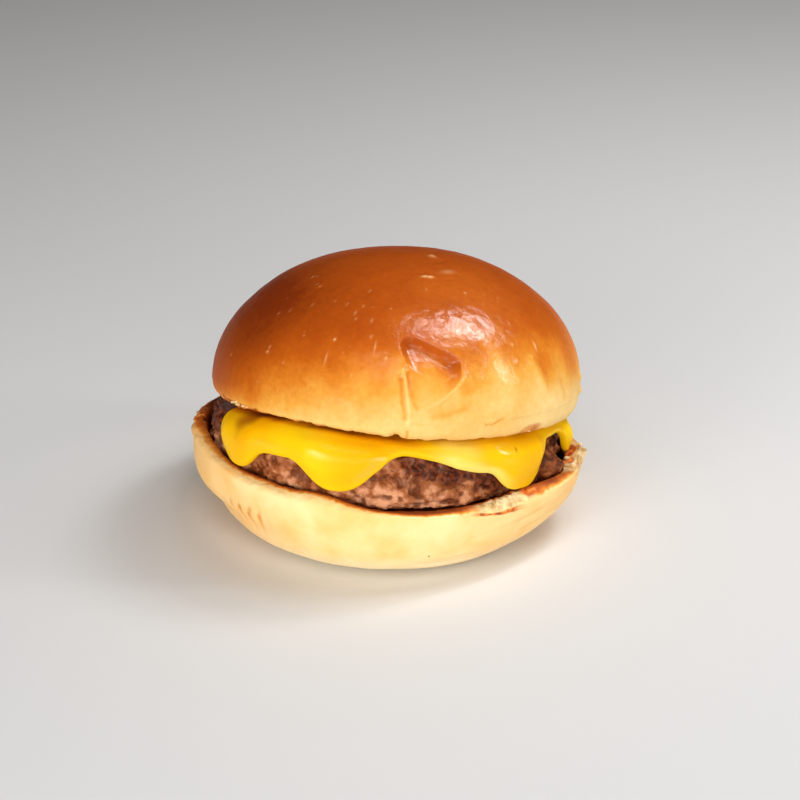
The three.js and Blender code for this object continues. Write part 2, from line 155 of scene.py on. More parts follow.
DENT_AT = (9, 20)  # azimuth and elevation
DENT_DEPTH = 2.4
DENT_OUTLINE = (  # direction from the middle, and reach in mm
    (9, 8.2), (27, 8.7), (44, 8.3), (69, 8.1), (95, 10), (109, 12.1), (121, 13), (137, 8.6),
    (155, 6.7), (180, 5.8), (209, 5.8), (234, 6.9), (252, 10.2), (272, 7.8), (305, 7), (329, 7.3),
    (349, 7.8),
)
DENT_CORNER = 7  # degrees over which its corners are rounded
DENT_STEEPNESS = 0.3
DENT_STEEPER = ((76, 60, 0.85, 4), (-10, 38, 0.3), (190, 45, 0.18))
# Shares by direction of the dent's wall that is painted darker, as shade.
DENT_WALL_SHADE = ((78, 58, 1, 4), (-2, 32, 0.5, 3), (215, 40, 0.15, 3))
DENT_RIM = (-28, 56, 3)
SWELLINGS = (  # line of places on the dome, half width, height
    (((20, 37), (28, 36), (32, 28), (33, 16)), 4, 0.16),
    (((47, 22), (50, 14), (53, 5)), 2.2, 0.2),
    (((53, 24), (54, 12)), 1.8, -0.16),
    (((65, 26), (66, 16)), 2.6, 0.14),
)
CREASES = (
    (((2.4, 20.5), (4, 12), (5.6, 6.5)), 0.6, -0.34),
    (((0.6, 21.5), (1.8, 16), (3, 10), (3.2, 0.5)), 0.6, 0.32),
    (((0.4, 18), (1.3, 11), (2.2, 3)), 0.8, -0.36),
    (((3.1, -3.2), (3.1, -8)), 0.35, -0.5),
    (((27.6, -0.9), (30, -1.2), (33.5, 0.2)), 0.32, -0.34),
    (((28, 0.6), (30.5, 0.3)), 0.5, 0.25),
    (((9, 2.5), (16, 4), (20, 6)), 0.7, -0.12),
    (((62, 12), (64, 4)), 1.2, -0.22),
    (((-61, 11), (-60, 2)), 0.7, 0.14),
    (((-53, 14), (-50, 6)), 1.4, -0.12),
    (((-33, 16), (-28, 11)), 0.8, -0.08),
)
# The pale thin dashes and specks are partly painted glints on tiny raised marks.
MARKS = (  # place on the dome, half widths across and up, height, paleness
    ((42.5, 78.5), (1, 0.9), 0.45, 0.5), ((42, 74.3), (1.7, 0.8), -0.5, 0),
    ((34, 67), (1.9, 0.9), 0.2, 0.3), ((13.5, 65), (0.9, 0.35), 0.25, 1),
    ((17, 64.6), (0.8, 0.4), 0.25, 1), ((30, 62.5), (1.4, 0.5), -0.2, 0),
    ((80, 8), (1.3, 1.6), 0.7, 0.2), ((84, 1), (1.2, 1.2), 0.6, 0.2),
    ((77, 13), (1, 1), 0.4, 0.1), ((-24.5, 24), (0.2, 1.6), 0.12, 0.5),
    ((-9.1, 30.5), (0.2, 1.5), 0.12, 0.5), ((-5, 26.4), (0.3, 0.5), 0.1, 0.6),
    ((-56, -5.5), (1.7, 0.8), 0.5, 1), ((-53, -5.2), (0.9, 0.7), 0.4, 1),
    ((-23.6, 31.8), (0.3, 0.35), 0.1, 0.9), ((-47.6, 21.9), (0.4, 0.4), 0.1, 0.7),
    ((52.3, 27.5), (0.35, 1.2), 0.2, 0.9), ((41.5, 30), (0.3, 0.4), 0.1, 0.7),
    ((41, 23.5), (0.3, 0.4), 0.1, 0.7),
)
BAKE_LEAST, BAKE_RANGE, BAKE_HEIGHT, BAKE_CURVE = 0.11, 0.73, 32, 1.3
BAKE_LIFTS = (  # azimuth, width, degrees by which the brown reaches further down
    (-80, 26, 26, 3), (-42, 20, 12), (-20, 14, 5), (180, 62, 12, 4), (38, 20, -5), (80, 16, 4),
)
BAKED_LEFT, PALE_RIGHT = (-78, 34, 4), (70, 24, 4)
BROWNED = (  # place on the dome, reach across and up, share
    ((-8, 33), (22, 7), 0.05), ((-60, 42), (26, 16), 0.1), ((53, 16), (3, 7), 0.12),
    ((16, 5.5), (5, 2), 0.1), ((27, 31), (4, 5), 0.06), ((15.5, 24.5), (3.2, 3.6), 0.16),
    ((22, 14), (3, 3), 0.07), ((40, 12), (3, 9), 0.05), ((66, 32), (14, 9), 0.05),
    ((30, 0), (10, 4), 0.06), ((-42, 0), (16, 8), -0.08), ((34, 20), (2.6, 12), -0.07),
    ((49.5, 11), (1.6, 5), -0.12), ((9, 19), (6, 6), -0.08), ((-15, 20), (12, 7), -0.05),
    ((0, 24), (3, 9), -0.08), ((-42, 12), (12, 6), -0.06), ((60, 23), (6, 6), -0.06),
    ((12, 42), (8, 3), -0.04), ((0, 62), (22, 12), -0.05), ((40, 58), (14, 10), -0.08),
    ((48, -3), (8, 3), -0.06),
)
GLAZED = (((19, 31), (17, 14), 1), ((-165, 34), (20, 13), 0.8), ((122, 30), (12, 12), 0.6))
GLAZE_DULLED = ((12, 23), (3.5, 4))
FRAYED = ((-56, 16, 1, 4), (46.5, 4.5, 0.8, 4), (-33, 12, 0.6, 4), (180, 90, 1, 6))
FRAY_REACH, FRAY_REACHES = 1.36, ((-58, 14, 0.4, 4), (46.5, 5, 0.3, 4))
# The specks' paleness is partly painted glints.
SPECKS = ((100, -100, 110), (70, 110, 260))  # how many, between which azimuths
SPECK_HEIGHT = 0.08
SPECK_ELEVATIONS, SPECK_WIDTHS = (6, 58), (0.14, 0.34)
SPECK_LENGTHS, SPECK_PALENESS = (0.7, 2.6), (0.1, 0.55)  # times its width, and share
CRUMB_SHARES = (1.2, 0.8, 0.6)  # of the half width, across, in depth and up
LOWER_CRUMBS = (  # azimuth, place along the outline, half width
    (29, 1.75, 0.45), (33.5, 1.6, 0.4), (38, 1.8, 0.5), (41, 1.5, 0.4),
    (72, 1.6, 0.6), (76, 1.9, 0.9), (80, 1.45, 0.8), (84, 1.75, 0.7), (-97, 1.5, 0.6),
)
UPPER_CRUMBS = (
    (-58.5, 1.55, 0.5), (-57, 1.65, 0.6), (-55.5, 1.5, 0.75), (-53, 1.55, 0.5), (-51, 1.5, 0.35),
    (46, 1.2, 0.4),
)

# ---- small maths


def mix(a, b, t):
    return a + (b - a) * t


def smooth(low, high, x):
    t = np.clip((x - low) / (high - low), 0, 1)
    return t * t * (3 - 2 * t)


def degrees_from(phi, at):
    """Signed angle from an azimuth in degrees to phi, in degrees."""
    return ((phi - at * DEG + math.pi) % (2 * math.pi) - math.pi) / DEG


def near(phi, at, width, power=2.0):
    return np.exp(-((np.abs(degrees_from(phi, at)) / width) ** power))


def hill(x, middle, spread):
    return np.exp(-(((x - middle) / spread) ** 2))


def waves(items, phi):
    return sum(out * np.cos(times * phi + phase) for times, phase, out in items)


def bulges(items, phi):
    """Sum of bumps, each an azimuth, width, height and, if it isn't a plain bell, flatness."""
    return sum(out * near(phi, at, width, *flatness) for at, width, out, *flatness in items)


def azimuths(columns, focus, squeeze):
    """Azimuths of a ring's columns, drawn together round a focus."""
    even = 2 * math.pi * np.arange(columns) / columns - math.pi + focus * DEG
    return even - squeeze * np.sin(even - focus * DEG)


def place(r, z, phi):
    r, z, phi = np.broadcast_arrays(r, z, phi)
    return np.stack([r * np.sin(phi), -r * np.cos(phi), z], -1)


# ---- seeded noise

NOISE_TABLE = 4096


def lattice_hash(at, seed):
    x, y, z = np.moveaxis(at, -1, 0)
    mixed = (x * 73856093) ^ (y * 19349663) ^ (z * 83492791) ^ (seed * 2654435761)
    mixed = mixed ^ (mixed >> 13)
    return (mixed * 1274126177 >> 7) & (NOISE_TABLE - 1)


NOISE_VALUES = np.random.default_rng(7).random((NOISE_TABLE, 4)) * 2 - 1


def soft_noise(points, size, seed):
    """Smooth noise from -1 to 1 with lumps of a size in millimetres."""
    q = points / size
    low = np.floor(q).astype(np.int64)
    f = q - low
    f = f * f * (3 - 2 * f)
    total = np.zeros(points.shape[:-1])
    for corner in range(8):
        step = np.array([corner & 1, corner >> 1 & 1, corner >> 2 & 1])
        weight = np.prod(np.where(step == 1, f, 1 - f), -1)
        total += weight * NOISE_VALUES[lattice_hash(low + step, seed), 0]
    return total


def layered(points, *layers):
    """Sum of soft noises, each a strength, a size and a seed."""
    return sum(strength * soft_noise(points, size, seed) for strength, size, seed in layers)


def rough_noise(points, size, seed, octaves=3, gain=0.5):
    return layered(points, *((gain**k, size / 2**k, seed + k) for k in range(octaves)))


def cells(points, size, seed):
    """Distance to the nearest cell centre, in cell sizes."""
    q = points / size
    low = np.floor(q).astype(np.int64)
    nearest = np.inf
    for step in np.ndindex(3, 3, 3):
        at = low + np.array(step) - 1
        drawn = NOISE_VALUES[lattice_hash(at, seed)]
        centre = at + 0.5 + 0.45 * drawn[..., :3]
        nearest = np.minimum(nearest, np.sqrt(((q - centre) ** 2).sum(-1)))
    return nearest


# ---- grids and meshes


def normals_of(grid):
    """Outward normals of a grid whose rows run up the outside and whose columns go round."""
    around = np.roll(grid, -1, 1) - np.roll(grid, 1, 1)
    along = np.gradient(grid, axis=0)
    normal = np.cross(around, along)
    length = np.linalg.norm(normal, axis=-1, keepdims=True)
    return normal / np.maximum(length, 1e-9)


def push(grid, out):
    """Moves each point of a grid out along its normal, by millimetres."""
    return grid + normals_of(grid) * out[..., None]


def grid_faces(rows, columns):
    """Corner indices of a closed grid: quads between the rows, and a fan to the pole at each end."""
    column = np.arange(columns)
    following = (column + 1) % columns
    row = np.arange(rows - 1)[:, None] * columns + 1
    lower, upper = (row, row + columns)
    quads = np.stack([lower + column, lower + following, upper + following, upper + column], -1)
    last_row = 1 + (rows - 1) * columns
    last = 1 + rows * columns
    start_fan = np.stack([0 * column, 1 + following, 1 + column], -1)
    end_fan = np.stack([0 * column + last, last_row + column, last_row + following], -1)
    return quads.reshape(-1, 4), np.concatenate([start_fan, end_fan])


def add_object(name, data):
    made = bpy.data.objects.new(name, data)
    bpy.context.scene.collection.objects.link(made)
    return made


def mesh_from(name, points, quads, triangles, masks, material):
    """A smooth mesh object from points in millimetres, with a value per point for each mask."""
    mesh = bpy.data.meshes.new(name)
    corners = np.concatenate([quads.ravel(), triangles.ravel()]).astype(np.int32)
    sizes = np.concatenate([np.full(len(quads), 4), np.full(len(triangles), 3)]).astype(np.int32)
    starts = np.concatenate([[0], np.cumsum(sizes)[:-1]]).astype(np.int32)
    mesh.vertices.add(len(points))
    mesh.loops.add(len(corners))
    mesh.polygons.add(len(sizes))
    mesh.vertices.foreach_set("co", (points * MM).astype(np.float32).ravel())
    mesh.loops.foreach_set("vertex_index", corners)
    mesh.polygons.foreach_set("loop_start", starts)
    mesh.polygons.foreach_set("use_smooth", np.ones(len(sizes), bool))
    mesh.update(calc_edges=True)
    mesh.validate()
    for mask, values in masks.items():
        mesh.attributes.new(mask, "FLOAT", "POINT").data.foreach_set("value", values.astype(np.float32))
    mesh.materials.append(material)
    return add_object(name, mesh)


def solid_from(name, grid, masks, material):
    """Closes a grid whose first and last rows are poles into one skin."""
    inner = grid[1:-1]
    points = np.concatenate([grid[0, :1], inner.reshape(-1, 3), grid[-1, :1]])
    quads, fans = grid_faces(len(inner), grid.shape[1])
    spread = {}
    for mask, values in masks.items():
        values = np.broadcast_to(values, grid.shape[:2])
        spread[mask] = np.concatenate([values[0, :1], values[1:-1].ravel(), values[-1, :1]])
    return mesh_from(name, points, quads, fans, spread, material)


def finish_piece(piece):
    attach(piece, "root")


def dress(node, name, grid, masks, material):
    """Makes the piece that stands for a solid, hangs it under the root body and hides the solid."""
    piece = solid_from(name, grid, masks, material)
    finish_piece(piece)
    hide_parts(node)


def make_crumbs(name, crumbs, grid, part, phi, material):
    """Torn bits of bread stuck to a bun, each at an azimuth and a place along its outline."""
    shape = bmesh.new()
    for at, along, size in crumbs:
        column = np.argmin(np.abs(degrees_from(phi[0], at)))
        row = np.argmin(np.abs(part[:, 0] - along))
        bit = bmesh.ops.create_icosphere(shape, subdivisions=3, radius=1.0)["verts"]
        points = np.array([v.co for v in bit])
        lumps = 1 + layered(points + at, (0.45, 0.9, 81), (0.2, 0.4, 82))
        points = points * lumps[:, None] * np.array(CRUMB_SHARES) * size + grid[row, column]
        for v, point in zip(bit, points):
            v.co = Vector(point) * MM
    mesh = bpy.data.meshes.new(name)
    shape.to_mesh(mesh)
    shape.free()
    mesh.materials.append(material)
    for face in mesh.polygons:
        face.use_smooth = True
    finish_piece(add_object(name, mesh))


# ---- patty form


def patty_radius(phi):
    return PATTY_RADIUS - PATTY_LEAN * np.sin(phi) + waves(PATTY_WAVES, phi) + bulges(PATTY_BULGES, phi)


def patty_foot(phi):
    return patty_radius(phi) + bulges(FOOT_BULGES, phi)


def around_patty(r, phi):
    return PATTY_CENTRE[0] + r * np.sin(phi), PATTY_CENTRE[1] - r * np.cos(phi)


def towards(x, y, turn):
    return (-y * math.cos(turn * DEG) - x * math.sin(turn * DEG)) / PATTY_RADIUS


def patty_floor(x, y):
    return PATTY_FLOOR + PATTY_FLOOR_RISE * towards(x, y, PATTY_FLOOR_TURN)


def patty_roof(x, y):
    share = towards(x, y, PATTY_ROOF_TURN)
    return PATTY_ROOF + PATTY_ROOF_RISE * share + PATTY_ROOF_CROWN * share * share


def crag(phi, share):
    broad = np.sin(11 * phi + 5 * share) * np.sin(6 * phi - 9 * share + 1)
    small = np.sin(19 * phi - 14 * share + 2) * np.cos(4 * phi + 12 * share)
    return np.minimum(0.5 + 0.4 * broad + 0.3 * small, 1) * 0.7 + 0.3


def patty_grid(columns=600, flat_rows=5, side_rows=92):
    phi = azimuths(columns, 0, 0.25)
    rows = []

    def ring(r, share_up):
        x, y = around_patty(r, phi)
        rows.append(np.stack([x, y, mix(patty_floor(x, y), patty_roof(x, y), share_up)], -1))

    def flat(up):
        return mix(patty_foot(phi), patty_radius(phi), smooth(0.3, 0.8, up)) - PATTY_SHOULDER

    for k in range(flat_rows):
        ring(flat(0) * k / flat_rows, 0.0)
    share_up = []
    for k in range(side_rows + 1):
        angle = -QUARTER + math.pi * k / side_rows
        out = abs(math.cos(angle)) ** 0.85
        up = 0.5 + 0.5 * math.copysign(abs(math.sin(angle)) ** 0.95, angle)
        ring(flat(up) + PATTY_SHOULDER * out - CRAG_DEPTH * out * crag(phi, up), up)
        share_up.append(up)
    for k in reversed(range(flat_rows)):
        ring(flat(1) * k / flat_rows, 1.0)
    ends = [0.0] * flat_rows
    return np.stack(rows), np.array(ends + share_up + [1.0] * flat_rows)[:, None], phi[None]


def meat_tone(phi, up):
    """How pale the meat is, before its grain; at the left end it is painted paler, as light, to lift the
    shade under the bun.
    """
    tone_and_light = MEAT_TONE + bulges(MEAT_TONES, phi)
    for at, width, more, none_above, full_below in MEAT_TONES_LOW:
        tone_and_light = tone_and_light + more * near(phi, at, width, 4) * smooth(none_above, full_below, up)
    return tone_and_light


def seared(phi, up, ragged):
    """How dark the meat is seared, from 0 to 1."""
    start, span, sinks = SEAR_SINKS
    sear = smooth(*SEAR_EDGE, up + sinks * np.clip(degrees_from(phi, start), 0, span) + ragged)
    for none_at, full_at in SEAR_SIDES:
        sear = sear * smooth(none_at, full_at, degrees_from(phi, 0))
    return np.clip(sear + near(phi, *SEARED_END) * smooth(0.45, 0.8, up), 0, 1)


def make_patty(material):
    grid, up, phi = patty_grid()
    side = smooth(0, 0.05, up) * smooth(1, 0.97, up)
    flat = grid * np.array([1, 1, 1.2])
    flat = flat + np.stack([soft_noise(flat, 5, seed) for seed in (60, 61, 62)], -1)
    lumps = soft_noise(flat, 3.2, 11)
    grains = soft_noise(flat, 1.6, 12)
    fine = soft_noise(flat, 0.9, 13)
    strands = np.abs(soft_noise(flat, 4.0, 68))
    out = 0.9 * lumps + 0.6 * grains + 0.3 * fine - 0.3 * smooth(0.12, 0.0, strands) - 0.1
    grid = push(grid, np.clip(out, *MEAT_RELIEF) * side)
    spread = 0
    for at, width, outwards, top in FOOT_SPREADS:
        spread = spread + outwards * near(phi, at, width, 4) * smooth(top + 0.35, top, up)
    grid = grid + place(spread * smooth(0, 0.12, up), 0, phi)
    # Painted shade: the meat is darker in the low places between its lumps and grains.
    low = smooth(0.1, -0.55, lumps + 0.5 * grains)
    pit_shade = 0.6 * low + 0.25 * smooth(0.1, 0.0, strands)
    pit_shade = pit_shade + 0.5 * smooth(-0.1, -0.5, grains) + 0.3 * smooth(-0.2, -0.6, fine)
    masks = {
        "pit_shade": np.clip(pit_shade, 0, 1),
        "tone_and_light": meat_tone(phi, up) + layered(flat, (0.22, 3, 65), (0.36, 1.3, 66)),
        "sear": seared(phi, up, 0.14 * rough_noise(grid, 5, 14)),
    }
    dress("patty", "patty_meat", grid, masks, material)


# ---- cheese form


def cheese_reach(phi):
    """How far the cheese runs past the start of the fold, along the patty's skin."""
    blend = 3
    total = 0
    for at, left, right, drop, power in LOBES:
        side = degrees_from(phi, at)
        width = np.where(side < 0, left, right)
        total = total + (drop * np.exp(-((np.abs(side) / width) ** power))) ** blend
    return CHEESE_SHORTEST_REACH + total ** (1 / blend) - bulges(CHEESE_PULLED_BACK, phi)


def swelling(phi, run):
    """How much higher the cheese's top is where it is squeezed up under the bun."""
    start, full, end = CHEESE_SWELLING_RUN
    return bulges(CHEESE_SWELLING, phi) * smooth(start, full, run) * (1 - smooth(0, end, run))


def on_cheese(phi, run, off):
    """A point on the cheese, at a run past the start of the fold and a height off the patty's skin."""
    arc = CHEESE_BEND * QUARTER
    angle = np.clip(run / CHEESE_BEND, 0, QUARTER)
    down = np.maximum(run - arc, 0)
    r = patty_radius(phi) - CHEESE_BEND + np.minimum(run, 0) + (CHEESE_BEND + off) * np.sin(angle)
    x, y = around_patty(r, phi)
    z = patty_roof(x, y) - CHEESE_BEND + (CHEESE_BEND + off) * np.cos(angle) - down
    return np.stack([x, y, z], -1), angle


def cheese_grid(columns=560, flat_rows=8, run_rows=52, lip_rows=16, under_rows=26):
    phi = azimuths(columns, 15, 0.4)
    under = CHEESE_OFF_PATTY
    top = under + CHEESE_THICK
    flat = patty_radius(phi) - CHEESE_BEND
    start = flat * (CHEESE_FLAT_SHARE - 1)
    end = cheese_reach(phi)
    rows = []
    outer = []
    lift = np.array([0, 0, 1.0])

    def add_flat(share, off, swell):
        run = flat * (CHEESE_FLAT_SHARE * share - 1)
        point, _ = on_cheese(phi, run, 0)
        rows.append(point + (off + swell * swelling(phi, run))[:, None] * lift)
        outer.append(0.0)

    def add_hang(share, off, bulge):
        run = mix(start, end, share)
        along = np.clip((run - 2) / np.maximum(end - 2, 1), 0, 1)
        belly = CHEESE_BELLY * np.sin(math.pi * along) * smooth(4, 9, end)
        rows.append(on_cheese(phi, run, off + bulge * (belly + swelling(phi, run)))[0])
        outer.append(share * bulge)

    def add_lip(turn):
        point, angle = on_cheese(phi, end, under + CHEESE_THICK / 2 * (1 - math.cos(turn)))
        tip = CHEESE_THICK / 2 * math.sin(turn)
        out = tip * np.cos(angle)
        rows.append(point + np.stack([out * np.sin(phi), -out * np.cos(phi), -tip * np.sin(angle)], -1))
        outer.append(1.0)

    for k in range(flat_rows):
        add_flat(k / flat_rows, under, 0)
    for k in range(under_rows + 1):
        add_hang(k / under_rows, under, 0)
    for k in range(1, lip_rows):
        add_lip(math.pi * k / lip_rows)
    for k in reversed(range(run_rows + 1)):
        add_hang(k / run_rows, top, 1)
    for k in reversed(range(flat_rows)):
        add_flat(k / flat_rows, top, 1)
    return np.stack(rows), np.array(outer)[:, None], phi[None]


def make_cheese(material):
    grid, outer, phi = cheese_grid()
    swell = layered(grid, (0.2, 9, 21), (0.07, 3.5, 22))
    folds = bulges(CHEESE_FOLDS, phi) * hill(outer, 0.72, 0.24)
    grid = push(grid, swell * smooth(0, 0.2, outer) + folds)
    oily = 0 * grid[..., 0]
    for at, along, width, spread in OILY:
        oily = oily + near(phi, at, width) * hill(outer, along, spread)
    shaded = smooth(0.35, 0.1, outer) * (1 - near(phi, *CHEESE_UNSHADED))
    shaded = shaded + 0.5 * bulges(CHEESE_DIPS, phi) * hill(outer, 0.5, 0.25)
    # Paler along the rim on the right, and a painted sheen higher up.
    pale_rim_and_sheen = near(phi, *CREAMY_RIM) * smooth(0.82, 0.96, outer + 0.04 * soft_noise(grid, 4, 73))
    pale_rim_and_sheen = pale_rim_and_sheen + 0.6 * near(phi, *CHEESE_SHEEN) * hill(outer, 0.7, 0.22)
    # Painted shadow under the bun's edge at the left, and a small dark dot.
    bun_shadow_and_dot = near(phi, *BUN_SHADOW) * smooth(0.58, 0.42, outer + 0.1 * soft_noise(grid, 3, 71))
    bun_shadow_and_dot = bun_shadow_and_dot + near(phi, *DARK_DOT) * hill(outer, 0.5, 0.02)
    masks = {
        "edge": smooth(0.86, 1.0, outer) + 0 * phi,
        "shaded": shaded,
        "lit": bulges(CHEESE_LIT, phi) * hill(outer, 0.7, 0.3),
        "pale_rim_and_sheen": pale_rim_and_sheen,
        "bun_shadow_and_dot": bun_shadow_and_dot,
        "oily": oily,
    }
    masks = {mask: np.clip(values, 0, 1) for mask, values in masks.items()}
    dress("cheese", "cheese_slice", grid, masks, material)


# ---- bottom bun form


def ledge(phi):
    return near(phi, *LEDGE)


def lip_width(phi):
    return LIP_WIDTH + bulges(LIP_WIDTH_BULGES, phi) + LEDGE_EXTRA_WIDTH * ledge(phi)


def lip_rise(phi):
    return LIP_RISE + bulges(LIP_RISE_BULGES, phi) + LEDGE_DROP * ledge(phi)


def rim_radius(phi):
    return RIM_RADIUS - RIM_LEAN * np.sin(phi) + waves(RIM_WAVES, phi) + bulges(RIM_BULGES, phi)


def rim_height(phi):
    level = RIM_HEIGHT - RIM_TILT * np.sin(phi) - RIM_BACK_DROP * smooth(0.15, -0.6, np.cos(phi))
    return level + bulges(RIM_LUMP, phi) - LEDGE_DROP * ledge(phi)


def base_radius(phi):
    return BASE_RADIUS - BASE_LEAN * np.sin(phi) + bulges(BASE_BULGES, phi)


def bowl_side(phi, share):
    angle = share * QUARTER
    z = rim_height(phi) * (1 - max(math.cos(angle), 0) ** SIDE_RISE)
    fold = near(phi, *FOLD) * sum(out * hill(z, height, spread) for height, spread, out in FOLD_RINGS)
    power = SIDE_FULLNESS + bulges(TUCK, phi)
    return mix(base_radius(phi), rim_radius(phi), math.sin(angle) ** power) + fold, z


def lip_inner(phi):
    return rim_radius(phi) - lip_width(phi)


def bowl_foot(phi):
    return patty_foot(phi) + PATTY_CENTRE[0] * np.sin(phi) - PATTY_CENTRE[1] * np.cos(phi) - 1.2


def bowl_inside(phi, r):
    under = patty_floor(r * np.sin(phi), -r * np.cos(phi)) - GAP
    return mix(under, rim_height(phi) + lip_rise(phi), smooth(bowl_foot(phi), lip_inner(phi), r))


def bottom_grid(columns=760, base_rows=4, side_rows=92, lip_rows=22, wall_rows=26, inside_rows=5):
    """Part is 0 to 1 up the side, 1 to 2 over the cut edge, 2 to 3 down the wall and 3 to 4 inside."""
    phi = azimuths(columns, 5, 0.42)
    rings = []

    def add(part, r, z):
        rings.append((place(r, z, phi), part))

    for k in range(base_rows):
        add(0.0, base_radius(phi) * k / base_rows, 0.0)
    for k in range(side_rows + 1):
        add(k / side_rows, *bowl_side(phi, k / side_rows))
    for k in range(1, lip_rows + 1):
        angle = QUARTER * k / lip_rows
        r = rim_radius(phi) - lip_width(phi) * (1 - math.cos(angle))
        add(1 + k / lip_rows, r, rim_height(phi) + lip_rise(phi) * math.sin(angle))
    for k in range(1, wall_rows + 1):
        r = mix(lip_inner(phi), bowl_foot(phi), k / wall_rows)
        add(2 + k / wall_rows, r, bowl_inside(phi, r))
    for k in reversed(range(inside_rows)):
        r = bowl_foot(phi) * k / inside_rows
        add(4 - k / inside_rows, r, bowl_inside(phi, r))
    rows, part = zip(*rings)
    return np.stack(rows), np.array(part)[:, None], phi[None]


def pleats_of(grid, phi):
    z = grid[..., 2]
    across = degrees_from(phi, PLEAT_FIRST) - PLEAT_SLANT * (z - PLEAT_HEIGHT)
    across = across + 1.1 * soft_noise(grid, 6, 33)
    pleats = smooth(-0.3, 0.8, np.cos(2 * math.pi * across / PLEAT_PERIOD))
    pleats = pleats * smooth(-0.7, 0.1, soft_noise(grid, 4, 36))
    return pleats * near(phi, *PLEATS) * hill(z, PLEAT_HEIGHT, PLEAT_SPREAD)


def wrinkles_of(grid, phi):
    wrinkles = 0
    broken = smooth(-0.4, 0.4, soft_noise(grid, 9, 39))
    for height, slope, at, width in WRINKLES:
        line = height + slope * degrees_from(phi, at) + 0.8 * soft_noise(grid, 14, 34)
        wrinkles = wrinkles + hill(grid[..., 2], line, 0.6) * near(phi, at, width, 4) * broken
    return wrinkles


def toast_of(phi, part, fringe, coarse):
    """How dark the cut edge and the wall below it are toasted."""
    start = TOAST_START + bulges(TOAST_SHIFTS, phi)
    toast = smooth(start - 0.12, start + 0.6, part + 0.1 * fringe)
    toast = np.where(part > 2, np.maximum(toast, 0.66 + 0.3 * smooth(2, 3, part)), toast)
    toast = toast * (1 - 0.36 * near(phi, *TOAST_PALER))
    return toast * (1 - bulges(TOAST_PALER_ENDS, phi) + 0.2 * coarse)


def lumps_of(grid, phi, part, coarse, right_tear, left_tear):
    """Where the torn edges end in browned lumps."""
    reach = LOWER_LUMPS_REACH + 0.05 * soft_noise(grid, 2.2, 72)
    off_line = np.abs(part - LOWER_LUMPS_LINE - 0.05 * coarse)
    lumps = near(phi, *LOWER_LUMPS) * smooth(1.3, 0.7, off_line / reach)
    upper = near(phi, *UPPER_LUMPS) * smooth(1.3, 1.6, part) * smooth(2.3, 1.9, part)
    right = smooth(83, 87, degrees_from(phi, 0)) + smooth(0.1, 0.3, soft_noise(grid, 4.2, 70))
    lumps = lumps + (upper + left_tear) * smooth(-0.4, 0.0, coarse)
    return np.clip(lumps + right_tear * np.clip(right, 0, 1), 0, 1)


def make_bottom_bun(material, loose):
    grid, part, phi = bottom_grid()
    z = grid[..., 2]
    side = smooth(0.02, 0.12, part) * smooth(1.0, 0.9, part)
    lip = smooth(0.98, 1.12, part) * smooth(2.6, 2.2, part)
    end_lip = smooth(2.5, 2.1, part)
    ledge_tear = near(phi, *LEDGE_TEAR) * lip * smooth(1.15, 1.45, part)
    right_tear = near(phi, *RIGHT_TEAR) * smooth(0.92, 1.05, part) * end_lip
    left_tear = near(phi, *LEFT_TEAR) * smooth(0.93, 1.05, part) * end_lip

    swell = layered(grid, (0.35, 16, 31), (0.12, 6, 32))
    pleats = pleats_of(grid, phi)
    wrinkles = wrinkles_of(grid, phi)
    pores = smooth(0.45, 0.1, cells(grid, 1.9, 35))
    coarse = rough_noise(grid, 4.6, 38, gain=0.4)
    fringe = rough_noise(grid, 1.3, 37)
    out = (swell - PLEAT_DEPTH * pleats - WRINKLE_DEPTH * wrinkles) * side
    out = out + 0.14 * fringe * lip + (0.7 * coarse + 0.3 * fringe - 0.35 * pores) * ledge_tear
    out = out + (0.4 + 1.4 * coarse + 0.3 * fringe - 0.3 * pores) * right_tear
    grid = push(grid, out + (0.2 + coarse) * left_tear)

    crumb = 1.3 * ledge_tear * smooth(1.12, 1.3, part + 0.2 * fringe) * smooth(2.0, 1.85, part)
    warm = bulges(WARM_ENDS, phi)
    for at, width, share, flatness, height, spread in WARM_PATCHES:
        warm = warm + share * near(phi, at, width, flatness) * hill(z, height, spread)
    masks = {
        "toast": toast_of(phi, part, fringe, coarse),
        "crumb": np.maximum(np.clip(crumb, 0, 1), right_tear),
        "lumps": lumps_of(grid, phi, part, coarse, right_tear, left_tear),
        # Painted shade darkens the pleats and wrinkles.
        "groove_shade": np.clip(pleats + 0.34 * wrinkles, 0, 1),
        "height": z,
        "warm": warm,
    }
    dress("bottom_bun", "bottom_bun_bread", grid, masks, material)
    make_crumbs("bottom_bun_crumbs", LOWER_CRUMBS, grid, part, phi, loose)


# ---- top bun form


def top_radius(phi):
    return TOP_RADIUS + waves(TOP_WAVES, phi)


def cut_drop(phi):
    return CUT_DROP + bulges(CUT_BULGES, phi)


def turned(a, b, angle):
    c, s = math.cos(angle * DEG), math.sin(angle * DEG)
    return a * c + b * s, b * c - a * s


def lean(r, z, phi):
    """Moves points of the upright bun to where it leans on the burger."""
    x, y, z = np.moveaxis(place(r, z, phi), -1, 0)
    x = x + APEX_SHIFT * np.clip(z, 0, None) / TOP_HEIGHT
    y, z = turned(y, z, TOP_TILT)
    x, z = turned(x, z, TOP_ROLL)
    return np.stack([x, y, z], -1) + np.array(TOP_CENTRE)


def cheese_top(x, y):
    """Highest that the cheese can be over a point."""
    dx = x - PATTY_CENTRE[0]
    dy = y - PATTY_CENTRE[1]
    phi = np.arctan2(dx, -dy)
    run = np.hypot(dx, dy) - (patty_radius(phi) - CHEESE_BEND)
    outer = CHEESE_BEND + CHEESE_OFF_PATTY + CHEESE_THICK
    fold = outer * np.cbrt(np.clip(1 - (np.clip(run, 0, None) / outer) ** 3, 0, None))
    return np.where(run < outer, patty_roof(x, y) - CHEESE_BEND + fold + swelling(phi, run), -1e3)


